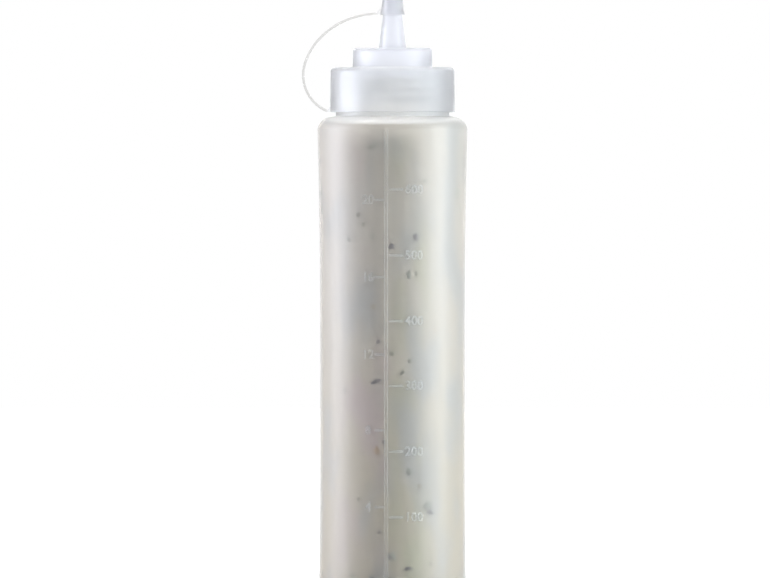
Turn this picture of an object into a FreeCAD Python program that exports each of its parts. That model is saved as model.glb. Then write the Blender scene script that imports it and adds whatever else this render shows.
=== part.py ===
"""Squeeze bottle for sauce: blown bottle, its filling, moulded screw cap with nozzle, tethered tip cap.

Millimetres, +Z up. The origin is the centre of the standing ring, on the axis of the bottle, and the
tether hangs on the -X side. Every size below is a cell of the sheet, and the sketches, features and
solids are bound to those cells.
"""

import FreeCAD, Part
import Sketcher

import math
import os
import re

SIZES = {
    # blown bottle, outside
    "body_height": 220.2,  # standing plane to the root of the neck
    "foot_radius": 34.15,
    "waist_radius": 33.67,
    "shoulder_radius": 35.0,
    "waist_bottom": 55.0,  # the waist is straight between these two heights
    "waist_top": 115.0,
    "heel_round": 5.0,
    "shoulder_round": 5.6,
    "shoulder_rise": 0.7,  # how much the shoulder climbs towards the neck
    "wall": 1.35,
    "rib_width": 1.9,  # the upright rib that the scale is set out from
    "rib_reach": 0.3,
    "rib_turn": 5.0,  # degrees from the front, -Y, towards the strap's side
    "pushup_depth": 2.2,  # hollow under the base
    "pushup_slope": 5.5,  # radial width of its sloping side
    "ring_width": 2.65,  # flat of the standing ring
    # neck
    "neck_height": 20.7,
    "neck_radius": 25.2,
    "neck_wall": 1.6,
    "bead_reach": 1.3,  # the bead under the thread stands out this far
    "bead_drop": 1.7,  # conical flank under the bead
    "bead_width": 1.3,
    "rim_round": 0.5,
    # filling
    "sauce_drop": 4.6,  # surface of the sauce below the root of the neck
    # screw cap
    "skirt_depth": 19.1,  # rim of the neck to the lower edge of the skirt
    "skirt_clearance": 0.4,  # skirt to bead
    "skirt_wall": 2.15,
    "skirt_taper": 0.18,
    "skirt_round": 2.1,
    "disc_thickness": 1.8,
    "turret_height": 9.0,
    "turret_radius": 18.55,
    "turret_taper": 0.12,
    "turret_round": 1.4,
    "turret_wall": 1.7,
    "root_round": 0.6,  # where the turret and the nozzle rise from the flat below them
    "edge_round": 0.3,  # outer lower edge of the skirt
    "plug_depth": 2.6,  # sealing ring that enters the neck
    "plug_wall": 1.3,
    "plug_clearance": 0.15,
    "nozzle_height": 36.6,
    "nozzle_radius": 6.3,
    "nozzle_tip_radius": 1.95,
    "nozzle_wall": 1.0,
    "orifice_radius": 1.1,
    "orifice_land": 2.0,
    # tip cap
    "tip_cover": 21.1,  # length of nozzle that the tip cap covers
    "tip_clearance": 0.15,
    "tip_wall": 0.95,
    "tip_top": 1.6,
    "tip_crown_radius": 1.2,
    "lip_wall": 1.05,
    "lip_height": 0.9,
    "lip_flare": 3.6,  # height over which the lip runs out into the cone
    # strap between the tip cap and the skirt
    "strap_thickness": 1.2,
    "strap_width": 2.4,
    "strap_round": 0.35,
    "strap_lead": 0.95,  # straight stretch where the strap leaves the lip
    "strap_top_sweep": 39.4,  # degrees turned by each of its three arcs
    "strap_side_sweep": 31.2,
    "strap_foot_sweep": 86.2,
    "strap_side_radius": 31.3,
    "strap_gusset": 2.9,
    "lug_reach": 1.55,  # the lug stands out this far from the skirt
    "lug_lift": 0.6,  # centre of the lug's face over the lower edge of the skirt
    "lug_height": 2.5,
}

doc = FreeCAD.newDocument("SqueezeBottle")
sheet = doc.addObject("Spreadsheet::Sheet", "Sizes")
for row, (alias, size) in enumerate(SIZES.items(), start=1):
    sheet.set(f"A{row}", alias)
    sheet.set(f"B{row}", str(size))
    sheet.setAlias(f"B{row}", alias)
doc.recompute()

# places that several pieces share, as expressions over the sheet
RIM = "(body_height + neck_height)"
SKIRT_EDGE = f"({RIM} - skirt_depth)"
CAP_TOP = f"({RIM} + disc_thickness)"
TURRET_TOP = f"({CAP_TOP} + turret_height)"
NOZZLE_TIP = f"({TURRET_TOP} + nozzle_height)"
NOZZLE_SLOPE = "((nozzle_radius - nozzle_tip_radius) / nozzle_height)"
SHOULDER = "(body_height - shoulder_rise)"  # its outer edge, before it is rounded
RING_RADIUS = "(foot_radius - heel_round - ring_width)"
PUSHUP_RADIUS = f"({RING_RADIUS} - pushup_slope)"
NECK_BORE = "(neck_radius - neck_wall)"
BEAD_RADIUS = "(neck_radius + bead_reach)"
SKIRT_BORE = f"({BEAD_RADIUS} + skirt_clearance)"
SKIRT_RADIUS = f"({SKIRT_BORE} + skirt_wall)"
TURRET_BORE = "(turret_radius - turret_wall)"
TURRET_ROOF = f"({TURRET_TOP} - turret_wall)"
TIP_EDGE = f"({NOZZLE_TIP} - tip_cover)"
TIP_CROWN = f"({NOZZLE_TIP} + tip_clearance + tip_top)"
TIP_BORE = f"(nozzle_tip_radius + tip_clearance + {NOZZLE_SLOPE} * tip_cover)"  # at its open end
LIP_RADIUS = f"({TIP_BORE} + lip_wall)"
STRAP_LEVEL = f"({TIP_EDGE} + strap_thickness / 2)"
STRAP_ROOT = f"(-({TIP_BORE} + lip_wall / 2))"  # inside the wall of the lip
STRAP_BEND = f"(-({LIP_RADIUS} + strap_lead))"  # where its first arc begins
STRAP_END = "((strap_top_sweep + strap_side_sweep + strap_foot_sweep - 180) * 1deg)"
LUG_X = f"(-({SKIRT_RADIUS} + lug_reach))"
LUG_Z = f"({SKIRT_EDGE} + lug_lift)"

LINE, ARC_OFF, ARC_ONTO = "line", "arc tangent to the side before", "arc tangent to the side after"


def sized(expression):
    """The expression as another object writes it, with each alias looked up in the sheet."""
    return re.sub(r"\b([a-z]\w*)\b(?!\()", r"Sizes.\1", expression)


def number(expression):
    """What an expression over the sheet comes to now."""
    result = sheet.evalExpression(expression)
    return float(getattr(result, "Value", result))


def new_sketch(body, role, name):
    """An empty sketch on one of the body's own origin planes."""
    sketch = body.newObject("Sketcher::SketchObject", name)
    plane = next(f for f in body.Origin.OriginFeatures if f.Role == role)
    sketch.AttachmentSupport = [(plane, "")]
    sketch.MapMode = "FlatFace"
    return sketch


def bind(sketch, constraint, expression):
    """Adds a constraint and binds its value to the sheet."""
    index = sketch.addConstraint(constraint)
    sketch.setExpression(f"Constraints[{index}]", sized(expression))


def pin_point(sketch, side, end, corner):
    """Holds one end of a side at a corner given by two expressions; "0" puts it on an axis."""
    for axis, kind, expression in ((-2, "DistanceX", corner[0]), (-1, "DistanceY", corner[1])):
        if expression == "0":
            sketch.addConstraint(Sketcher.Constraint("PointOnObject", side, end, axis))
        else:
            constraint = Sketcher.Constraint(kind, -1, 1, side, end, number(expression))
            bind(sketch, constraint, expression)


def arc_through(start, end, tangent_point, direction):
    """The arc between two points that runs along a direction at one of them, and whether it is reversed."""
    other = end if tangent_point is start else start
    normal = FreeCAD.Vector(-direction.y, direction.x, 0)
    chord = other - tangent_point
    centre = tangent_point + normal * (chord.dot(chord) / (2 * chord.dot(normal)))
    turn = (start - centre).cross(end - centre).z
    first, last = (start, end) if turn > 0 else (end, start)
    angles = [math.atan2(p.y - centre.y, p.x - centre.x) for p in (first, last)]
    circle = Part.Circle(centre, FreeCAD.Vector(0, 0, 1), (start - centre).Length)
    return Part.ArcOfCircle(circle, angles[0], angles[1]), turn < 0


def draw_outline(sketch, corners):
    """A closed outline of corners (x, y, how the side to the next corner runs), each bound to the sheet."""
    points = [FreeCAD.Vector(number(x), number(y), 0) for x, y, _ in corners]
    count = len(corners)
    ends = []
    for i, (_, _, kind) in enumerate(corners):
        start, end = points[i], points[(i + 1) % count]
        if kind == LINE:
            side, reverse = Part.LineSegment(start, end), False
        elif kind == ARC_OFF:
            before = (start - points[i - 1]).normalize()
            side, reverse = arc_through(start, end, start, before)
        else:
            after = (points[(i + 2) % count] - end).normalize()
            side, reverse = arc_through(start, end, end, after)
        geometry = sketch.addGeometry(side, False)
        ends.append((geometry, 2, 1) if reverse else (geometry, 1, 2))
    for i, (x, y, kind) in enumerate(corners):
        side, start, _ = ends[i]
        before, _, before_end = ends[i - 1]
        smooth = kind == ARC_OFF or corners[i - 1][2] == ARC_ONTO
        joint = "Tangent" if smooth else "Coincident"
        sketch.addConstraint(Sketcher.Constraint(joint, before, before_end, side, start))
        pin_point(sketch, side, start, (x, y))


def new_body(name):
    return doc.addObject("PartDesign::Body", name)


def revolve(body, name, corners, kind="Revolution", angle="360deg"):
    """An outline turned about Z, added to the body or, as a Groove, taken from it."""
    sketch = new_sketch(body, "XZ_Plane", f"{name}Profile")
    draw_outline(sketch, corners)
    feature = body.newObject(f"PartDesign::{kind}", name)
    feature.Profile = sketch
    feature.ReferenceAxis = (sketch, ["V_Axis"])
    feature.Midplane = True
    feature.setExpression("Angle", sized(angle))
    doc.recompute()
    return feature


def pad_across(body, name, corners):
    """A pad of an XZ outline, as wide as the strap, centred on the plane y = 0."""
    sketch = new_sketch(body, "XZ_Plane", f"{name}Profile")
    draw_outline(sketch, corners)
    feature = body.newObject("PartDesign::Pad", name)
    feature.Profile = sketch
    feature.SideType = "Symmetric"
    feature.setExpression("Length", sized("strap_width"))
    doc.recompute()
    return feature


def round_edges(body, name, radius, places):
    """Fillets the body's circular edges at the given (radius, height) pairs of expressions."""
    tip = body.Tip
    found = []
    for radial, height in places:
        r, z = number(radial), number(height)
        found += [
            f"Edge{i}"
            for i, edge in enumerate(tip.Shape.Edges, start=1)
            if isinstance(edge.Curve, Part.Circle)
            and abs(edge.Curve.Radius - r) < 1e-3
            and abs(edge.Curve.Center.z - z) < 1e-3
        ]
    if len(found) != len(places):
        raise RuntimeError(f"{name}: {len(found)} edges found for {len(places)} places")
    feature = body.newObject("PartDesign::Fillet", name)
    feature.Base = (tip, found)
    feature.setExpression("Radius", sized(radius))
    doc.recompute()
    return feature


def make_bottle_form():
    """The bottle's outside as a solid: push-up base, heel, waisted body, shoulder, neck with its bead."""
    body = new_body("BottleForm")
    bead = "(body_height + bead_drop)"
    revolve(body, "BlownForm", [
        ("0", "pushup_depth", LINE),
        (PUSHUP_RADIUS, "pushup_depth", LINE),
        (RING_RADIUS, "0", LINE),
        ("foot_radius - heel_round", "0", ARC_OFF),
        ("foot_radius", "heel_round", ARC_ONTO),
        ("waist_radius", "waist_bottom", LINE),
        ("waist_radius", "waist_top", ARC_OFF),
        ("shoulder_radius", f"{SHOULDER} - shoulder_round", ARC_ONTO),
        ("shoulder_radius - shoulder_round", SHOULDER, LINE),
        ("neck_radius", "body_height", LINE),
        (BEAD_RADIUS, bead, LINE),
        (BEAD_RADIUS, f"{bead} + bead_width", LINE),
        ("neck_radius", f"{bead} + 2 * bead_width", LINE),
        ("neck_radius", RIM, LINE),
        ("0", RIM, LINE),
    ])
    round_edges(body, "RimRound", "rim_round", [("neck_radius", RIM)])
    return body


def make_scale_rib():
    """The rib up the front of the body, from the heel to the shoulder; the cavity cuts its inner side off."""
    body = new_body("ScaleRib")
    top = f"({SHOULDER} - shoulder_round)"
    revolve(body, "RibBand", [
        ("waist_radius - 2 * wall", "heel_round", LINE),
        ("foot_radius + rib_reach", "heel_round", ARC_ONTO),
        ("waist_radius + rib_reach", "waist_bottom", LINE),
        ("waist_radius + rib_reach", "waist_top", ARC_OFF),
        ("shoulder_radius + rib_reach", top, LINE),
        ("waist_radius - 2 * wall", top, LINE),
    ], angle="rib_width / shoulder_radius * 1rad")
    body.setExpression("Placement.Rotation.Angle", sized("(90 + rib_turn) * -1deg"))
    doc.recompute()
    return body


def make_cavity():
    """The bottle's inside, one wall in from the outside and open past the rim."""
    body = new_body("Cavity")
    revolve(body, "InnerForm", [
        ("0", "pushup_depth + wall", LINE),
        (PUSHUP_RADIUS, "pushup_depth + wall", LINE),
        (RING_RADIUS, "wall", LINE),
        ("foot_radius - heel_round", "wall", ARC_OFF),
        ("foot_radius - wall", "heel_round", ARC_ONTO),
        ("waist_radius - wall", "waist_bottom", LINE),
        ("waist_radius - wall", "waist_top", ARC_OFF),
        ("shoulder_radius - wall", f"{SHOULDER} - shoulder_round", ARC_ONTO),
        ("shoulder_radius - shoulder_round", f"{SHOULDER} - wall", LINE),
        (NECK_BORE, "body_height - wall", LINE),
        (NECK_BORE, f"{RIM} + rim_round", LINE),
        ("0", f"{RIM} + rim_round", LINE),
    ])
    return body


def make_bottle(form, rib, cavity):
    """The blown wall: the outside with its rib, less the inside."""
    outside = doc.addObject("Part::Fuse", "Outside")
    outside.Base = form
    outside.Tool = rib
    bottle = doc.addObject("Part::Cut", "bottle")
    bottle.Base = outside
    bottle.Tool = cavity
    return bottle


def make_sauce(cavity):
    """The filling: the inside of the bottle up to the level of the sauce."""
    level = doc.addObject("Part::Cylinder", "SauceLevel")
    level.setExpression("Radius", sized("shoulder_radius + wall"))
    level.setExpression("Height", sized("body_height - sauce_drop"))
    sauce = doc.addObject("Part::Common", "sauce")
    sauce.Base = cavity
    sauce.Tool = level
    return sauce


def make_screw_cap():
    """The moulded cap: skirt, disc with the plug ring under it, turret, hollow nozzle and the strap's lug."""
    body = new_body("screw_cap")
    plug_outside = f"({NECK_BORE} - plug_clearance)"
    revolve(body, "CapWall", [
        (SKIRT_BORE, SKIRT_EDGE, LINE),
        (SKIRT_RADIUS, SKIRT_EDGE, LINE),
        (f"{SKIRT_RADIUS} - skirt_taper", f"{CAP_TOP} - skirt_round", ARC_ONTO),
        (f"{SKIRT_RADIUS} - skirt_taper - skirt_round", CAP_TOP, LINE),
        ("turret_radius", CAP_TOP, LINE),
        ("turret_radius - turret_taper", f"{TURRET_TOP} - turret_round", ARC_ONTO),
        ("turret_radius - turret_taper - turret_round", TURRET_TOP, LINE),
        ("nozzle_radius", TURRET_TOP, LINE),
        ("nozzle_tip_radius", NOZZLE_TIP, LINE),
        ("orifice_radius", NOZZLE_TIP, LINE),
        ("orifice_radius", f"{NOZZLE_TIP} - orifice_land", LINE),
        ("nozzle_radius - nozzle_wall", TURRET_ROOF, LINE),
        (TURRET_BORE, TURRET_ROOF, LINE),
        (TURRET_BORE, RIM, LINE),
        (f"{plug_outside} - plug_wall", RIM, LINE),
        (f"{plug_outside} - plug_wall", f"{RIM} - plug_depth", LINE),
        (f"{plug_outside} - plug_wall / 2", f"{RIM} - plug_depth", LINE),
        (plug_outside, f"{RIM} - plug_depth + plug_wall", LINE),
        (plug_outside, RIM, LINE),
        (SKIRT_BORE, RIM, LINE),
    ])
    round_edges(body, "RootRound", "root_round", [
        ("turret_radius", CAP_TOP),
        ("nozzle_radius", TURRET_TOP),
    ])
    round_edges(body, "EdgeRound", "edge_round", [(SKIRT_RADIUS, SKIRT_EDGE)])
    half = "strap_thickness / 2"
    inside = f"(-({SKIRT_BORE} + skirt_wall / 2))"
    pad_across(body, "StrapLug", [
        (inside, SKIRT_EDGE, LINE),
        (inside, f"{SKIRT_EDGE} + lug_height", LINE),
        (f"-{SKIRT_RADIUS}", f"{SKIRT_EDGE} + lug_height", LINE),
        (f"{LUG_X} - {half} * sin({STRAP_END})", f"{LUG_Z} + {half} * cos({STRAP_END})", LINE),
        (f"{LUG_X} + {half} * sin({STRAP_END})", f"{LUG_Z} - {half} * cos({STRAP_END})", LINE),
    ])
    return body


def draw_strap_path(sketch):
    """Straight out of the lip, then three tangent arcs down to the lug; their two free radii close it."""
    sweeps = ("strap_top_sweep", "strap_side_sweep", "strap_foot_sweep")
    lead = FreeCAD.Vector(number(STRAP_BEND), number(STRAP_LEVEL), 0)
    gap = FreeCAD.Vector(number(LUG_X), number(LUG_Z), 0) - lead
    heading, steps, headings = math.pi, [], []
    for sweep in sweeps:
        after = heading + math.radians(number(sweep))
        steps.append(FreeCAD.Vector(
            math.sin(after) - math.sin(heading), math.cos(heading) - math.cos(after), 0))
        headings.append(heading)
        heading = after
    rest = gap - steps[1] * number("strap_side_radius")
    spread = steps[0].cross(steps[2]).z
    radii = [rest.cross(steps[2]).z / spread, number("strap_side_radius"), steps[0].cross(rest).z / spread]

    root = FreeCAD.Vector(number(STRAP_ROOT), lead.y, 0)
    line = sketch.addGeometry(Part.LineSegment(root, lead), False)
    sketch.addConstraint(Sketcher.Constraint("Horizontal", line))
    pin_point(sketch, line, 1, (STRAP_ROOT, STRAP_LEVEL))
    bind(sketch, Sketcher.Constraint("DistanceX", -1, 1, line, 2, lead.x), STRAP_BEND)
    point, before = lead, line
    for radius, start, sweep in zip(radii, headings, sweeps):
        centre = point + FreeCAD.Vector(-math.sin(start), math.cos(start), 0) * radius
        angle = start - math.pi / 2
        turn = math.radians(number(sweep))
        circle = Part.Circle(centre, FreeCAD.Vector(0, 0, 1), radius)
        arc = sketch.addGeometry(Part.ArcOfCircle(circle, angle, angle + turn), False)
        sketch.addConstraint(Sketcher.Constraint("Tangent", before, 2, arc, 1))
        bind(sketch, Sketcher.Constraint("Angle", arc, turn), f"{sweep} * 1deg")
        point = centre + FreeCAD.Vector(math.cos(angle + turn), math.sin(angle + turn), 0) * radius
        before = arc
    bind(sketch, Sketcher.Constraint("Radius", line + 2, radii[1]), "strap_side_radius")
    pin_point(sketch, before, 2, (LUG_X, LUG_Z))
    print("strap radii", [round(r, 2) for r in radii])


def draw_strap_section(sketch):
    """The strap's rounded rectangle, across the width by the thickness, about its centre line."""
    across, up = "(strap_width / 2)", "(strap_thickness / 2)"
    corners = []
    for x_sign, y_sign, first in (("", "-", "x"), ("", "", "y"), ("-", "", "x"), ("-", "-", "y")):
        near_x = (f"{x_sign}({across} - strap_round)", f"{STRAP_LEVEL} + {y_sign}{up}")
        near_y = (f"{x_sign}{across}", f"{STRAP_LEVEL} + {y_sign}({up} - strap_round)")
        start, end = (near_x, near_y) if first == "x" else (near_y, near_x)
        corners += [(*start, ARC_OFF), (*end, LINE)]
    draw_outline(sketch, corners)


def make_tip_cap():
    """The tip cap on the nozzle, with its flared lip, the gusset and the strap down to the cap's lug."""
    body = new_body("tip_cap")
    cone_root = f"({TIP_BORE} + tip_wall - {NOZZLE_SLOPE} * lip_flare)"
    crown = "(nozzle_tip_radius + tip_clearance + tip_wall)"
    revolve(body, "TipForm", [
        ("0", TIP_EDGE, LINE),
        (LIP_RADIUS, TIP_EDGE, LINE),
        (LIP_RADIUS, f"{TIP_EDGE} + lip_height", ARC_ONTO),
        (cone_root, f"{TIP_EDGE} + lip_flare", LINE),
        (crown, NOZZLE_TIP, ARC_OFF),
        (f"{crown} - tip_crown_radius", TIP_CROWN, LINE),
        ("0", TIP_CROWN, LINE),
    ])
    pad_across(body, "Gusset", [
        (f"-{TIP_BORE}", TIP_EDGE, LINE),
        (f"{STRAP_BEND} - strap_thickness", STRAP_LEVEL, LINE),
        (f"-{TIP_BORE}", f"{TIP_EDGE} + strap_thickness + strap_gusset", LINE),
    ])
    path = new_sketch(body, "XZ_Plane", "StrapPath")
    draw_strap_path(path)
    section = new_sketch(body, "YZ_Plane", "StrapSection")
    section.setExpression("AttachmentOffset.Base.z", sized(STRAP_ROOT))
    draw_strap_section(section)
    doc.recompute()
    strap = body.newObject("PartDesign::AdditivePipe", "Strap")
    strap.Profile = section
    strap.Spine = (path, [f"Edge{i + 1}" for i in range(path.GeometryCount)])
    doc.recompute()
    revolve(body, "NozzleSeat", [
        ("0", f"{TIP_EDGE} - tip_clearance", LINE),
        (f"{TIP_BORE} + {NOZZLE_SLOPE} * tip_clearance", f"{TIP_EDGE} - tip_clearance", LINE),
        ("nozzle_tip_radius + tip_clearance", NOZZLE_TIP, LINE),
        ("nozzle_tip_radius + tip_clearance", f"{NOZZLE_TIP} + tip_clearance", LINE),
        ("0", f"{NOZZLE_TIP} + tip_clearance", LINE),
    ], kind="Groove")
    return body


def finish(pieces):
    """Checks every object and piece, then writes one STEP file for each piece."""
    doc.recompute()
    failed = [o.Name for o in doc.Objects if {"Invalid", "Error"} & set(o.State)]
    if failed:
        raise RuntimeError(f"objects that failed: {failed}")
    for name, piece in pieces.items():
        shape = piece.Shape
        if shape.isNull() or not shape.isValid() or len(shape.Solids) != 1:
            raise RuntimeError(f"{name} isn't one valid solid")
    os.makedirs("parts", exist_ok=True)
    for name, piece in pieces.items():
        piece.Label = name
        piece.Placement = FreeCAD.Placement()
        piece.Shape.exportStep(f"parts/{name}.step")
        print(name, round(piece.Shape.Volume / 1000, 2), "cm3", piece.Shape.BoundBox)


bottle_form = make_bottle_form()
cavity = make_cavity()
finish({
    "bottle": make_bottle(bottle_form, make_scale_rib(), cavity),
    "sauce": make_sauce(cavity),
    "screw_cap": make_screw_cap(),
    "tip_cap": make_tip_cap(),
})
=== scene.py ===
"""Looks of the squeeze bottle: frosted polyethylene, the dressing with its specks, the raised scale."""

import math
import random

import bmesh
import bpy
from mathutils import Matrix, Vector


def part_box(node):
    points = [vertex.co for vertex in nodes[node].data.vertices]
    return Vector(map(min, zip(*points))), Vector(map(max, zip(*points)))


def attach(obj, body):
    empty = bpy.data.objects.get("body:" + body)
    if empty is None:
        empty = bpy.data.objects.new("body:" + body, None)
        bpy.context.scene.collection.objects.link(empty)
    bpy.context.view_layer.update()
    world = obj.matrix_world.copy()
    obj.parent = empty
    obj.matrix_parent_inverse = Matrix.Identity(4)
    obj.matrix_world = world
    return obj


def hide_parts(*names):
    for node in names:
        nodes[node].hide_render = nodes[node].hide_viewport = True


MM = 0.001

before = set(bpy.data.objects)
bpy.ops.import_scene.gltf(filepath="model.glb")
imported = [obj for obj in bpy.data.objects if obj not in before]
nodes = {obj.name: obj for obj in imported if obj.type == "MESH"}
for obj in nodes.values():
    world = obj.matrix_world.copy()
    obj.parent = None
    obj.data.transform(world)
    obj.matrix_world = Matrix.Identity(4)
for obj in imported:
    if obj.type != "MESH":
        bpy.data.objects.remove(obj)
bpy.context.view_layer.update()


# ---------------------------------------------------------------- the frame's own sizes


def silhouette(node):
    """(height, radius) pairs of a turned node's outside, lowest first, without the front and its rib."""
    widest = {}
    for vertex in nodes[node].data.vertices:
        if vertex.co.y < -MM:
            continue
        height = round(vertex.co.z, 6)
        radius = math.hypot(vertex.co.x, vertex.co.y)
        widest[height] = max(radius, widest.get(height, 0.0))
    return sorted(widest.items())


def radius_at(profile, height):
    """Radius of a profile at a height, straight between its points."""
    for (low, r_low), (high, r_high) in zip(profile, profile[1:]):
        if low <= height <= high:
            return r_low + (r_high - r_low) * (height - low) / max(high - low, 1e-9)
    return profile[0][1] if height < profile[0][0] else profile[-1][1]


def on_wall(azimuth, radius, height):
    """A point at an azimuth counted from the front, to the right."""
    return Vector((radius * math.sin(azimuth), -radius * math.cos(azimuth), height))


BOTTLE = silhouette("bottle")
FILLING = silhouette("sauce")
SAUCE_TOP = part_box("sauce")[1].z
SAUCE_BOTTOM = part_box("sauce")[0].z
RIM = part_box("bottle")[1].z
SKIRT_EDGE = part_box("screw_cap")[0].z
NECK_RADIUS = radius_at(BOTTLE, RIM - 3 * MM)
BEAD_RADIUS = radius_at(BOTTLE, RIM - 18 * MM)


# ---------------------------------------------------------------- shader nodes


def new_material(name):
    material = bpy.data.materials.new(name)
    material.use_nodes = True
    tree = material.node_tree
    return material, tree, tree.nodes["Principled BSDF"]


def noise(tree, scale, detail=2.0, stretch=(1, 1, 1), seed=0.0):
    """Noise over the object's own coordinates in millimetres, scale being its waves per millimetre."""
    place = tree.nodes.new("ShaderNodeTexCoord")
    mapping = tree.nodes.new("ShaderNodeMapping")
    mapping.inputs["Scale"].default_value = [1000 * scale * s for s in stretch]
    mapping.inputs["Location"].default_value = (seed, seed * 0.7, seed * 1.3)
    tree.links.new(place.outputs["Object"], mapping.inputs["Vector"])
    texture = tree.nodes.new("ShaderNodeTexNoise")
    texture.inputs["Scale"].default_value = 1.0
    texture.inputs["Detail"].default_value = detail
    tree.links.new(mapping.outputs["Vector"], texture.inputs["Vector"])
    return texture.outputs["Fac"]


def arithmetic(tree, operation, *values):
    """A Math node of sockets or numbers."""
    node = tree.nodes.new("ShaderNodeMath")
    node.operation = operation
    for socket, value in zip(node.inputs, values):
        if isinstance(value, (int, float)):
            socket.default_value = value
        else:
            tree.links.new(value, socket)
    return node.outputs[0]


def ramp(tree, source, low, high):
    """Stretches a band of a signal smoothly over 0 to 1; it falls where low is over high."""
    node = tree.nodes.new("ShaderNodeMapRange")
    node.interpolation_type = "SMOOTHSTEP"
    node.inputs["From Min"].default_value = low
    node.inputs["From Max"].default_value = high
    tree.links.new(source, node.inputs["Value"])
    return node.outputs["Result"]


def along(tree, axis, low, high):
    """0 below one place on an axis of the object, in metres, and 1 above another."""
    place = tree.nodes.new("ShaderNodeTexCoord")
    parts = tree.nodes.new("ShaderNodeSeparateXYZ")
    tree.links.new(place.outputs["Object"], parts.inputs[0])
    return ramp(tree, parts.outputs[axis], low, high)


def between(tree, axis, low, low_full, high_full, high):
    """1 between two places on an axis of the object, falling to 0 at two others outside them."""
    return arithmetic(tree, "MULTIPLY", along(tree, axis, low, low_full), along(tree, axis, high, high_full))


def blend_colour(tree, factor, a, b):
    """Mixes two colours, each a tuple or a socket."""
    node = tree.nodes.new("ShaderNodeMix")
    node.data_type = "RGBA"
    tree.links.new(factor, node.inputs["Factor"])
    for socket, colour in ((node.inputs[6], a), (node.inputs[7], b)):
        if isinstance(colour, tuple):
            socket.default_value = (*colour, 1)
        else:
            tree.links.new(colour, socket)
    return node.outputs[2]


def srgb(r, g, b):
    """Linear colour of an 8-bit sRGB one."""
    return tuple(
        c / 255 / 12.92 if c <= 10 else ((c / 255 + 0.055) / 1.055) ** 2.4 for c in (r, g, b)
    )


def bump(tree, shader, source, height_mm, strength):
    node = tree.nodes.new("ShaderNodeBump")
    node.inputs["Distance"].default_value = height_mm * MM
    node.inputs["Strength"].default_value = strength
    tree.links.new(source, node.inputs["Height"])
    tree.links.new(node.outputs["Normal"], shader.inputs["Normal"])


# ---------------------------------------------------------------- materials

PLASTIC_IOR = 1.38
COAT_ROUGHNESS = 0.48
PLASTIC_ABSORBS = (0.0, 0.02, 0.1, 1)  # what long ways through the plastic leave, a little blue


def frosted(
    name, tint, deep, transmission, rough, absorb_per_mm, body=0.65, gloss=0.5, coat=0.0, other=None
):
    """Milky polyethylene: partly see-through, satin, with the faint uneven haze of a moulded wall.

    Where it isn't None, other is (axis, low, high, colour): past that band the plastic has this colour.
    """
    material, tree, shader = new_material(name)
    haze = ramp(tree, noise(tree, 0.03, 3.0, (1, 1, 0.35)), 0.3, 0.7)
    colour = blend_colour(tree, haze, tint, deep)
    if other is not None:
        axis, low, high, beyond = other
        colour = blend_colour(tree, along(tree, axis, low, high), colour, beyond)
    tree.links.new(colour, shader.inputs["Base Color"])
    satin = tree.nodes.new("ShaderNodeMapRange")
    satin.inputs["To Min"].default_value = rough - 0.04
    satin.inputs["To Max"].default_value = rough + 0.05
    tree.links.new(noise(tree, 0.4, 2.0, seed=3.0), satin.inputs["Value"])
    tree.links.new(satin.outputs["Result"], shader.inputs["Roughness"])
    shader.inputs["IOR"].default_value = PLASTIC_IOR
    shader.inputs["Transmission Weight"].default_value = transmission
    shader.inputs["Alpha"].default_value = body
    shader.inputs["Specular IOR Level"].default_value = gloss
    shader.inputs["Coat Weight"].default_value = coat
    shader.inputs["Coat Roughness"].default_value = COAT_ROUGHNESS
    bump(tree, shader, noise(tree, 0.25, 2.0, (1, 1, 0.5), seed=5.0), 0.02, 0.3)
    dim = tree.nodes.new("ShaderNodeVolumeAbsorption")
    dim.inputs["Color"].default_value = PLASTIC_ABSORBS
    dim.inputs["Density"].default_value = absorb_per_mm / MM
    tree.links.new(dim.outputs[0], tree.nodes["Material Output"].inputs["Volume"])
    return material


CREAM_BELOW, CREAM_ABOVE = srgb(206, 195, 175), srgb(211, 202, 189)
# the next colour is painted light: a paler cream that stands in for light coming in through the headspace
PAINTED_TOP_LIGHT = srgb(250, 240, 226)
PINK_CLOUD, OLIVE_CLOUD, GREY_CLOUD = srgb(206, 190, 184), srgb(193, 189, 163), srgb(190, 187, 181)


def dressing():
    """Cream, greyer above, with painted light at the front: paler towards its top, where light coming in
    through the headspace would brighten it.

    Soft pinkish, olive and grey clouds stand for what lies deeper.
    """
    material, tree, shader = new_material("dressing")
    colour = blend_colour(tree, along(tree, "Z", 0.03, 0.17), CREAM_BELOW, CREAM_ABOVE)
    right = between(tree, "X", -0.005, 0.004, 0.009, 0.022)
    left = between(tree, "X", -0.032, -0.014, -0.005, 0.004)
    for seed, tone, side in ((11.0, PINK_CLOUD, left), (23.0, OLIVE_CLOUD, right), (37.0, GREY_CLOUD, None)):
        cloud = ramp(tree, noise(tree, 0.055, 2.0, (1, 1, 0.45), seed), 0.45, 0.68)
        if side is not None:
            cloud = arithmetic(tree, "MULTIPLY", cloud, side)
        colour = blend_colour(tree, cloud, colour, tone)
    # painted light: the front of the dressing turns paler towards its top, limited to the middle of the
    # front
    middle = between(tree, "X", -0.03, -0.012, 0.003, 0.019)
    painted_top_light_mask = arithmetic(tree, "MULTIPLY", along(tree, "Z", 0.204, SAUCE_TOP), middle)
    colour = blend_colour(tree, painted_top_light_mask, colour, PAINTED_TOP_LIGHT)
    tree.links.new(colour, shader.inputs["Base Color"])
    shader.inputs["Roughness"].default_value = 0.5
    bump(tree, shader, noise(tree, 0.6, 3.0, seed=7.0), 0.05, 0.4)
    return material


def flake_material(name, light, dark):
    """One kind of fleck, each a little lighter or darker along its length."""
    material, tree, shader = new_material(name)
    shade = ramp(tree, noise(tree, 0.5, 3.0, seed=2.0), 0.35, 0.65)
    tree.links.new(blend_colour(tree, shade, light, dark), shader.inputs["Base Color"])
    shader.inputs["Roughness"].default_value = 0.55
    return material


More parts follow.
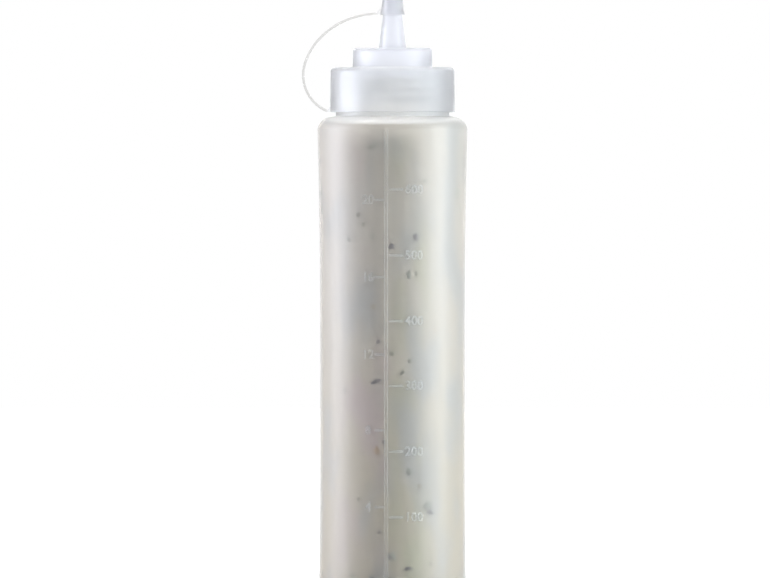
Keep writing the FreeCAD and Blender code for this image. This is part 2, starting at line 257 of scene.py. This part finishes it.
BOTTLE_PLASTIC = frosted(
    "bottle_plastic", srgb(252, 253, 252), srgb(249, 251, 250), 0.87, 0.4, 0.002, coat=1.0
)
CAP_PLASTIC = frosted(
    "cap_plastic", srgb(251, 252, 255), srgb(248, 250, 254), 0.97, 0.48, 0.01, gloss=0.02,
    other=("Z", RIM + 1.8 * MM, RIM + 2.4 * MM, srgb(243, 245, 252)),  # the turret and the nozzle
)
TIP_PLASTIC = frosted(
    "tip_plastic", srgb(254, 254, 255), srgb(251, 252, 254), 0.95, 0.42, 0.035, 0.74, gloss=0.1,
    other=("X", -6 * MM, -9 * MM, srgb(228, 227, 224)),  # the strap
)
MARK_PLASTIC = frosted(
    "mark_plastic", srgb(250, 251, 251), srgb(246, 248, 248), 0.0, 0.45, 0.0, 0.2
)


# ---------------------------------------------------------------- meshes


def finished(name, build):
    """The mesh of a finished bmesh, its faces turned outwards."""
    mesh = bpy.data.meshes.new(name)
    bmesh.ops.recalc_face_normals(build, faces=build.faces)
    build.to_mesh(mesh)
    build.free()
    return mesh


def add_piece(name, mesh, material, smooth=True):
    piece = bpy.data.objects.new(name, mesh)
    bpy.context.scene.collection.objects.link(piece)
    mesh.materials.append(material)
    mesh.shade_smooth() if smooth else mesh.shade_flat()
    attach(piece, "root")
    return piece


def skin(build, rows, ends=False):
    """Faces round rows of corners, from each row to the next, and over both ends if they are open."""
    for a, b in zip(rows, rows[1:]):
        for i in range(len(a)):
            j = (i + 1) % len(a)
            build.faces.new((a[i], a[j], b[j], b[i]))
    if ends:
        build.faces.new(rows[0][::-1])
        build.faces.new(rows[-1])


AROUND = 160  # corners of a full turn


def lathe(name, outline):
    """A closed turned mesh of (radius, height) points, the first and last on the axis."""
    build = bmesh.new()
    rings = []
    for radius, height in outline:
        if radius < 1e-9:
            rings.append([build.verts.new((0, 0, height))])
        else:
            angles = [2 * math.pi * i / AROUND for i in range(AROUND)]
            rings.append([
                build.verts.new((radius * math.cos(a), radius * math.sin(a), height)) for a in angles
            ])
    for low, high in zip(rings, rings[1:]):
        for i in range(AROUND):
            j = i + 1
            corners = (low[i % len(low)], low[j % len(low)], high[j % len(high)], high[i % len(high)])
            build.faces.new(list(dict.fromkeys(corners)))
    return finished(name, build)


# ---------------------------------------------------------------- the filling

SAUCE_REACH = 0.45 * MM  # how far the filling's mesh goes into the wall, so that no air lies between
HOLLOW_RADII = (0.0, 12 * MM, 20.5 * MM)  # where the underside over the hollow base is taken
RING_RADIUS = 24 * MM  # just inside the lowest ring of the filling
HEEL_HEIGHT = 8 * MM
MENISCUS = 0.5 * MM


def floor_height(radius):
    """Height of the filling's underside near the axis, over the hollow base."""
    near = [v.co.z for v in nodes["sauce"].data.vertices if math.hypot(v.co.x, v.co.y) <= radius + MM]
    return min(near) if near else SAUCE_BOTTOM


def make_sauce():
    """The filling, pushed a little into the wall, with a meniscus where it meets the shoulder."""
    steps = 90
    foot = [(r, z) for z, r in FILLING if z < SAUCE_BOTTOM + HEEL_HEIGHT and r > RING_RADIUS]
    low = foot[-1][1]
    outline = [(radius, floor_height(radius)) for radius in HOLLOW_RADII]
    outline += foot[:1] + [(r + SAUCE_REACH, z) for r, z in foot[1:]]
    for i in range(1, steps + 1):
        height = low + (SAUCE_TOP - low) * i / steps
        outline.append((radius_at(FILLING, height) + SAUCE_REACH, height))
    edge = radius_at(FILLING, SAUCE_TOP)
    outline += [
        (edge + SAUCE_REACH, SAUCE_TOP + MENISCUS), (edge - 0.4 * MM, SAUCE_TOP + 0.4 * MENISCUS),
        (edge - 1.5 * MM, SAUCE_TOP), (0, SAUCE_TOP),
    ]
    piece = add_piece("sauce_fill", lathe("sauce_fill", outline), dressing())
    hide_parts("sauce")
    return piece


# ---------------------------------------------------------------- the scale on the wall

TICK, DIGIT, MARK_LIFT = 1.25 * MM, 4.2 * MM, 0.12 * MM  # a tick's and a digit's height, how far they rise
MARK_DEPTH = 0.3 * MM  # how far the marks go into the wall
DIGIT_SHARE = 0.7  # a digit's height as a share of the type's size
DIGIT_SWELL = 0.03  # how much bolder the digits are, as a share of their height
# for both sides: the ticks' heights, their two ends, the numbers' middle and step; arcs in millimetres
SCALES = (
    ((33.1, 63.6, 94.2, 124.4, 154.9, 185.5), -1.6, 4.9, 10.2, 100),
    ((37.8, 73.5, 108.7, 144.8, 180.7), -8.4, -3.9, -11.6, 4),
)
RIB_EDGES = (-3.65, -2.45)
RIB_EDGE_HALF, RIB_EDGE_LIFT = 0.12 * MM, 0.33 * MM
RIB_EDGE_SPAN = (5.5 * MM, 213.5 * MM)


def add_box_on_wall(build, x0, x1, z0, z1, lift, steps=6):
    """A raised bar bent to the wall, between two arc lengths from the front and two heights."""
    columns = []
    for i in range(steps + 1):
        x = x0 + (x1 - x0) * i / steps
        column = []
        for height, out in ((z0, -MARK_DEPTH), (z1, -MARK_DEPTH), (z1, lift), (z0, lift)):
            radius = radius_at(BOTTLE, height)
            column.append(build.verts.new(on_wall(x / radius, radius + out, height)))
        columns.append(column)
    skin(build, columns, ends=True)


def text_mesh(text, x, z):
    """Raised digits bent to the wall, centred at an arc length from the front and a height."""
    curve = bpy.data.curves.new("digits", "FONT")
    curve.body = text
    curve.size = DIGIT / DIGIT_SHARE
    curve.align_x, curve.align_y = "CENTER", "CENTER"
    curve.extrude = 0.5
    curve.offset = DIGIT_SWELL * DIGIT
    curve.resolution_u = 3
    holder = bpy.data.objects.new("digits", curve)
    mesh = bpy.data.meshes.new_from_object(holder)
    for vertex in mesh.vertices:
        height = z + vertex.co.y
        radius = radius_at(BOTTLE, height)
        out = MARK_LIFT if vertex.co.z > 0 else -MARK_DEPTH
        vertex.co = on_wall((x + vertex.co.x) / radius, radius + out, height)
    bpy.data.objects.remove(holder)
    return mesh


def make_scale():
    """The scale beside the rib: ticks and plain numbers on both sides, and the rib's two edges."""
    build = bmesh.new()
    for heights, start, end, _, _ in SCALES:
        for z in heights:
            z *= MM
            add_box_on_wall(build, start * MM, end * MM, z - TICK / 2, z + TICK / 2, MARK_LIFT)
    for heights, _, _, middle, step in SCALES:
        for i, z in enumerate(heights, start=1):
            build.from_mesh(text_mesh(str(step * i), middle * MM, z * MM))
    for x in RIB_EDGES:
        x *= MM
        add_box_on_wall(build, x - RIB_EDGE_HALF, x + RIB_EDGE_HALF, *RIB_EDGE_SPAN, RIB_EDGE_LIFT, steps=2)
    return add_piece("scale", finished("scale", build), MARK_PLASTIC, smooth=False)


# ---------------------------------------------------------------- herbs and spices in the dressing

FLECK_MARGIN = 0.72  # millimetres that the frosted wall takes off a fleck as it blurs its edge
FLECK_TONES = {
    "pepper": (srgb(126, 118, 122), srgb(102, 96, 102)),
    "herb": (srgb(134, 134, 118), srgb(112, 114, 98)),
    "pale_herb": (srgb(176, 177, 165), srgb(158, 160, 149)),
    "red": (srgb(186, 158, 120), srgb(168, 138, 106)),
}
# millimetres from the filling's skin: a fleck's edge, how uneven it is, its middle, its back edge and back
EDGE_RISE, EDGE_UNEVEN, MIDDLE_RISE, BACK_EDGE_DEPTH, BACK_DEPTH = 0.03, 0.05, 0.15, 0.5, 0.6
BACK_SHARE = 0.85  # of the height of a fleck's front
PALE_SINK = 0.02  # millimetres that the pale flecks lie deeper

# the flecks of the front: kind, then arc from the front, height, width and tallness in millimetres, and
# tilt in degrees
FRONT_FLECKS = (
    ("pepper", 10.7, 163.4, 1.3, 3.2, 5), ("pepper", -8.3, 96.2, 1.8, 2.1, 20),
    ("pepper", -9.7, 95.3, 1.0, 1.1, 0), ("pepper", -6.4, 96.9, 1.1, 1.2, 0),
    ("pepper", -4.3, 68.0, 1.4, 1.4, 0), ("pepper", 17.8, 35.6, 1.8, 1.4, 30),
    ("pepper", 19.4, 35.2, 1.1, 1.2, 0), ("pepper", 7.3, 9.3, 3.8, 1.5, 8),
    ("pale_herb", -0.2, 14.8, 4.2, 3.6, 40), ("pepper", -0.9, 14.4, 1.5, 1.2, 20),
    ("pepper", -6.2, 26.1, 1.2, 1.2, 0), ("pepper", -0.4, 159.2, 1.9, 2.3, 15),
    ("pepper", -10.2, 5.1, 1.6, 1.4, 0), ("pepper", -6.6, 114.8, 1.5, 1.4, 30),
    ("pale_herb", 7.6, 146.0, 2.2, 3.4, 10), ("herb", 7.9, 146.6, 0.7, 1.5, 10),
    ("herb", 11.4, 146.4, 0.6, 1.9, 0), ("herb", 4.8, 100.3, 1.6, 1.4, 50),
    ("herb", 8.2, 105.7, 1.3, 1.2, 10), ("herb", -0.2, 109.4, 1.6, 1.4, 60),
    ("herb", -16.5, 173.9, 1.8, 1.7, 30), ("herb", -13.9, 169.5, 1.4, 1.9, 0),
    ("pale_herb", -9.0, 206.0, 4.6, 1.7, 38), ("herb", -10.4, 205.0, 1.9, 1.1, 38),
    ("pale_herb", 15.5, 189.5, 1.6, 1.3, 0), ("herb", -16.6, 41.6, 1.7, 1.4, 15),
    ("herb", 13.0, 47.8, 1.2, 1.2, 0), ("herb", 18.6, 11.3, 1.5, 1.4, 0),
    ("herb", -19.6, 6.1, 1.7, 1.2, 0), ("pale_herb", 7.9, 54.4, 3.2, 2.8, 20),
    ("pale_herb", 17.1, 38.6, 4.2, 3.6, 40), ("pale_herb", 36.9, 184.0, 2.5, 4.6, 0),
    ("pale_herb", -9.3, 163.9, 2.2, 2.0, 0), ("pale_herb", -22.2, 162.6, 1.8, 1.8, 0),
    ("pale_herb", -24.4, 91.7, 1.8, 1.8, 0), ("pale_herb", -11.4, 48.3, 2.4, 1.8, 0),
    ("red", -7.2, 63.8, 2.9, 3.8, 10), ("red", 12.9, 47.6, 1.3, 1.1, 0),
    ("red", -9.0, 131.0, 1.2, 1.0, 0), ("red", 21.0, 120.0, 1.3, 1.1, 0),
)
FRONT_RADIUS = 33.0  # millimetres, for the arcs above

# flecks strewn over the sides and the back: how many of each kind, and where, in degrees and millimetres
SCATTER = {"pepper": 34, "herb": 62, "pale_herb": 40, "red": 16}
STREWN_FROM, STREWN_TO = math.radians(68), math.radians(292)
STREWN_LOW, STREWN_HIGH = 7, 209
STREWN_SIZES = (0.8, 1.0, 1.2, 1.4, 2.0)
PALE_SIZE = 1.6


def flake_outline(rng, width, height, points=11):
    """An irregular rounded scrap about the origin, in millimetres."""
    outline = []
    for i in range(points):
        angle = 2 * math.pi * (i + 0.5 * rng.random()) / points
        reach = 0.5 * (0.55 + 0.7 * rng.random())
        outline.append((width * reach * math.cos(angle), height * reach * math.sin(angle)))
    return outline


def add_flake(build, rng, azimuth, z, width, height, tilt, sink):
    """A thin scrap lying in the skin of the dressing, its edges turned inwards.

    All are in millimetres but the angles, which are in radians.
    """
    outline = flake_outline(rng, width + FLECK_MARGIN, height + FLECK_MARGIN)
    front, back = [], []
    base = radius_at(FILLING, z * MM) + SAUCE_REACH
    for x, y in outline:
        u = x * math.cos(tilt) - y * math.sin(tilt)
        v = x * math.sin(tilt) + y * math.cos(tilt)
        place = azimuth + u * MM / base
        rise = EDGE_RISE + EDGE_UNEVEN * rng.random() - sink
        front.append(build.verts.new(on_wall(place, base + rise * MM, (z + v) * MM)))
        back.append(build.verts.new(on_wall(place, base - BACK_EDGE_DEPTH * MM, (z + BACK_SHARE * v) * MM)))
    top = build.verts.new(on_wall(azimuth, base + (MIDDLE_RISE - sink) * MM, z * MM))
    low = build.verts.new(on_wall(azimuth, base - BACK_DEPTH * MM, z * MM))
    count = len(outline)
    for i in range(count):
        j = (i + 1) % count
        build.faces.new((front[i], front[j], top))
        build.faces.new((back[j], back[i], low))
        build.faces.new((front[j], front[i], back[i], back[j]))


def fleck_places(rng):
    """The flecks seen from the front, then others strewn over the rest of the wall."""
    places = [
        (kind, x / FRONT_RADIUS, z, width, tall, math.radians(tilt))
        for kind, x, z, width, tall, tilt in FRONT_FLECKS
    ]
    for kind, count in SCATTER.items():
        for _ in range(count):
            azimuth = rng.uniform(STREWN_FROM, STREWN_TO)
            size = rng.choice(STREWN_SIZES) * (PALE_SIZE if kind == "pale_herb" else 1.0)
            z = rng.uniform(STREWN_LOW, STREWN_HIGH)
            places.append((kind, azimuth, z, size, size * rng.uniform(0.7, 1.3), rng.uniform(0, math.pi)))
    return places


def make_flecks():
    """One piece for each kind of fleck."""
    rng = random.Random(7)
    builds = {kind: bmesh.new() for kind in SCATTER}
    for kind, azimuth, z, width, tall, tilt in fleck_places(rng):
        sink = 0.0 if kind != "pale_herb" else PALE_SINK
        add_flake(builds[kind], rng, azimuth, z, width, tall, tilt, sink)
    for kind, build in builds.items():
        mesh = finished(kind, build)
        add_piece(f"flecks_{kind}", mesh, flake_material(kind, *FLECK_TONES[kind]))


# ---------------------------------------------------------------- the neck's thread and foot

THREAD_START = RIM - 13.6 * MM
THREAD_PITCH, THREAD_TURNS, THREAD_STEPS = 4.4 * MM, 2.2, 220
THREAD_REACH, THREAD_LEAST = 0.6 * MM, 0.05 * MM
RUN_OUT = 12  # the thread rises and runs out over one part in this many of its length
# corners of the thread's section: millimetres up, and share of its reach out, or millimetres inwards
THREAD_SECTION = ((-0.9, -0.3), (-0.9, 0.0), (-0.35, 1.0), (0.35, 1.0), (0.9, 0.0), (0.9, -0.3))


def make_thread():
    """A helical thread around the neck, a little over two turns, running out at both ends."""
    build = bmesh.new()
    rings = []
    for i in range(THREAD_STEPS + 1):
        share = i / THREAD_STEPS
        angle = 2 * math.pi * THREAD_TURNS * share
        height = THREAD_START + THREAD_PITCH * THREAD_TURNS * share
        reach = THREAD_REACH * min(1.0, RUN_OUT * share, RUN_OUT * (1 - share)) + THREAD_LEAST
        rings.append([
            build.verts.new(
                on_wall(angle, NECK_RADIUS + (out * reach if out > 0 else out * MM), height + up * MM)
            )
            for up, out in THREAD_SECTION
        ])
    skin(build, rings, ends=True)
    return add_piece("thread", finished("thread", build), BOTTLE_PLASTIC, smooth=False)


COLLAR_LOW, COLLAR_HIGH = RIM - 21.6 * MM, SKIRT_EDGE - 0.1 * MM
COLLAR_INNER, COLLAR_OUTER = NECK_RADIUS - 0.4 * MM, BEAD_RADIUS - 0.05 * MM
COLLAR_FLARE = (0.3 * MM, 0.6 * MM)  # how far its lower edge runs out, and over which height


def make_collar():
    """The ring at the neck's foot, straight down from the bead under the cap to the shoulder."""
    section = [
        (COLLAR_INNER, COLLAR_LOW),
        (COLLAR_OUTER + COLLAR_FLARE[0], COLLAR_LOW),
        (COLLAR_OUTER, COLLAR_LOW + COLLAR_FLARE[1]),
        (COLLAR_OUTER, COLLAR_HIGH),
        (COLLAR_INNER, COLLAR_HIGH),
    ]
    build = bmesh.new()
    rings = [
        [build.verts.new(on_wall(2 * math.pi * i / AROUND, radius, height)) for i in range(AROUND)]
        for radius, height in section
    ]
    skin(build, rings + rings[:1])
    return add_piece("collar", finished("collar", build), BOTTLE_PLASTIC, smooth=False)


# ---------------------------------------------------------------- stage, light and camera

SIDE_LEVEL = 0.33  # of white, beside the bottle
WORLD_COLOUR, WORLD_STRENGTH = (0.95, 0.97, 1.0, 1), 0.06
FLOOR_LEVEL = 0.45  # of white, at the bottle's foot
FLOOR_FADE = (0.1, 0.9)  # metres from the foot over which the floor turns white
FLOOR_COLOUR, FLOOR_REACH = (0.3, 0.3, 0.3, 1), 15.0
CAMERA_DISTANCE, CAMERA_HEIGHT, CAMERA_SIDE = 10.0, 139.3 * MM, -3.5 * MM
FRAMED_WIDTH, SENSOR_WIDTH = 359.3 * MM, 36
# name, azimuth in degrees, distance, height, size, power, colour
SOFTBOXES = (
    ("left", -93, 0.9, 0.3, (0.6, 1.0), 15.5, (0.9, 0.92, 1.0)),
    ("right", 80, 0.9, 0.3, (0.5, 1.0), 15, (0.89, 0.95, 1.0)),
    ("right_front", 54, 1.2, 0.25, (0.5, 1.0), 8.5, (0.95, 1.0, 1.0)),
    ("top", 180, 0.3, 1.0, (0.6, 0.5), 13, (1.0, 1.0, 1.0)),
)
AIM = Vector((0, 0, 0.15))


def white_to_eye(tree, output, plain, white):
    """Shows white straight to the eye and through or in the plastic.

    What has met a matt surface on its way gets the plain shader, so the white doesn't light the sauce.
    """
    path = tree.nodes.new("ShaderNodeLightPath")
    seen = path.outputs["Is Camera Ray"]
    for kind in ("Is Transmission Ray", "Is Glossy Ray"):
        seen = arithmetic(tree, "MAXIMUM", seen, path.outputs[kind])
    undimmed = arithmetic(tree, "LESS_THAN", path.outputs["Diffuse Depth"], 0.5)
    mix = tree.nodes.new("ShaderNodeMixShader")
    tree.links.new(arithmetic(tree, "MULTIPLY", seen, undimmed), mix.inputs[0])
    tree.links.new(plain, mix.inputs[1])
    tree.links.new(white, mix.inputs[2])
    tree.links.new(mix.outputs[0], output.inputs["Surface"])


def dim_at_the_sides(tree):
    """White ahead, behind and above, and dimmer beside the bottle for all but the eye.

    It draws the edges of the plastic.
    """
    place = tree.nodes.new("ShaderNodeTexCoord")
    parts = tree.nodes.new("ShaderNodeSeparateXYZ")
    tree.links.new(place.outputs["Generated"], parts.inputs[0])
    ahead, above = (arithmetic(tree, "ABSOLUTE", parts.outputs[axis]) for axis in ("Y", "Z"))
    open_sides = ramp(tree, arithmetic(tree, "MAXIMUM", ahead, above), 0.75, 1.0)
    level = arithmetic(tree, "MULTIPLY_ADD", open_sides, 1 - SIDE_LEVEL, SIDE_LEVEL)
    path = tree.nodes.new("ShaderNodeLightPath")
    return arithmetic(tree, "MAXIMUM", level, path.outputs["Is Camera Ray"])


def make_world():
    world = bpy.data.worlds.new("studio")
    bpy.context.scene.world = world
    world.use_nodes = True
    tree = world.node_tree
    plain = tree.nodes["Background"]
    plain.inputs["Color"].default_value = WORLD_COLOUR
    plain.inputs["Strength"].default_value = WORLD_STRENGTH
    white = tree.nodes.new("ShaderNodeBackground")
    white.inputs["Color"].default_value = (1, 1, 1, 1)
    tree.links.new(dim_at_the_sides(tree), white.inputs["Strength"])
    white_to_eye(tree, tree.nodes["World Output"], plain.outputs[0], white.outputs[0])


def floor_material():
    """Pale and matt, with a glow for the eye that grows with the distance from the bottle."""
    material, tree, shader = new_material("floor")
    shader.inputs["Base Color"].default_value = FLOOR_COLOUR
    shader.inputs["Roughness"].default_value = 0.9
    glow = tree.nodes.new("ShaderNodeEmission")
    place = tree.nodes.new("ShaderNodeTexCoord")
    reach = tree.nodes.new("ShaderNodeVectorMath")
    reach.operation = "LENGTH"
    tree.links.new(place.outputs["Object"], reach.inputs[0])
    away = ramp(tree, reach.outputs["Value"], *FLOOR_FADE)
    level = arithmetic(tree, "MULTIPLY_ADD", away, 1 - FLOOR_LEVEL, FLOOR_LEVEL)
    tree.links.new(level, glow.inputs["Strength"])
    both = tree.nodes.new("ShaderNodeAddShader")
    tree.links.new(glow.outputs[0], both.inputs[0])
    tree.links.new(shader.outputs[0], both.inputs[1])
    white_to_eye(tree, tree.nodes["Material Output"], shader.outputs[0], both.outputs[0])
    return material


def make_floor():
    """A pale floor that reads white and keeps the bottle's shadow."""
    mesh = bpy.data.meshes.new("floor")
    build = bmesh.new()
    bmesh.ops.create_grid(build, x_segments=4, y_segments=4, size=FLOOR_REACH)
    build.to_mesh(mesh)
    build.free()
    floor = bpy.data.objects.new("floor", mesh)
    bpy.context.scene.collection.objects.link(floor)
    mesh.materials.append(floor_material())


def add_softbox(name, azimuth_deg, distance, height, size, power, colour):
    """A rectangular soft light at an azimuth from the front, to the right, aimed at the bottle."""
    light = bpy.data.lights.new(name, "AREA")
    light.shape = "RECTANGLE"
    light.size, light.size_y = size
    light.energy = power
    light.color = colour
    lamp = bpy.data.objects.new(name, light)
    lamp.location = on_wall(math.radians(azimuth_deg), distance, height)
    lamp.rotation_euler = (AIM - lamp.location).to_track_quat("-Z", "Y").to_euler()
    lamp.visible_transmission = name == "top"
    bpy.context.scene.collection.objects.link(lamp)


def make_camera():
    """Level, straight at the front, a little left of the axis, at half the height of what it frames."""
    camera = bpy.data.cameras.new("camera")
    camera.sensor_width = SENSOR_WIDTH
    camera.lens = SENSOR_WIDTH * CAMERA_DISTANCE / FRAMED_WIDTH
    camera.clip_end = 50
    eye = bpy.data.objects.new("camera", camera)
    eye.location = (CAMERA_SIDE, -CAMERA_DISTANCE, CAMERA_HEIGHT)
    eye.rotation_euler = (math.pi / 2, 0, 0)
    bpy.context.scene.collection.objects.link(eye)
    bpy.context.scene.camera = eye


def dress_solids():
    """Gives the frame's own visible nodes their plastics."""
    for node, plastic in (("bottle", BOTTLE_PLASTIC), ("screw_cap", CAP_PLASTIC), ("tip_cap", TIP_PLASTIC)):
        for slot in nodes[node].material_slots:
            slot.material = plastic


make_world()
make_floor()
for softbox in SOFTBOXES:
    add_softbox(*softbox)
make_camera()
bpy.context.scene.view_settings.view_transform = "Standard"

dress_solids()
make_sauce()
make_flecks()
make_scale()
make_thread()
make_collar()
